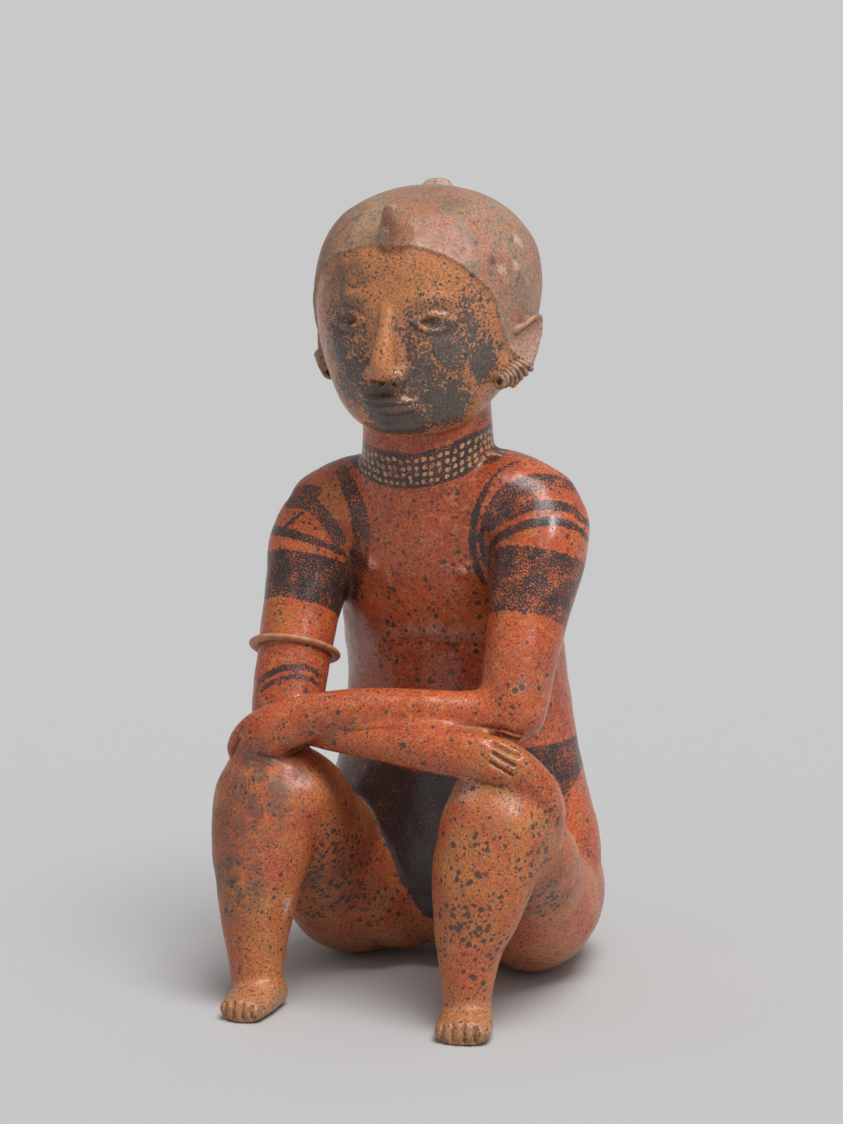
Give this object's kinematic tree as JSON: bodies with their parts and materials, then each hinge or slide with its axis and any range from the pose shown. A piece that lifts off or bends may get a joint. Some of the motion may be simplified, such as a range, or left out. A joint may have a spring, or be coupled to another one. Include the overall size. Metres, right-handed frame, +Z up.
{
  "type": "seated figure statue",
  "caption": "Seated earthenware figure with raised knees and forearms crossed on them, large domed head with small knobs, and an armlet.",
  "frame": {"origin": "on the floor, under the middle of the figure's bounding box", "axes": "+Z up, the figure looks along -Y and its own left side is +X"},
  "size_m": [0.2974, 0.343, 0.6751],
  "materials": {
    "burnished_red_slip": "burnished red slip with black resist paint and dark mineral speckle"
  },
  "bodies": {
    "root": {"seated_figure": "burnished_red_slip"}
  },
  "joints": []
}
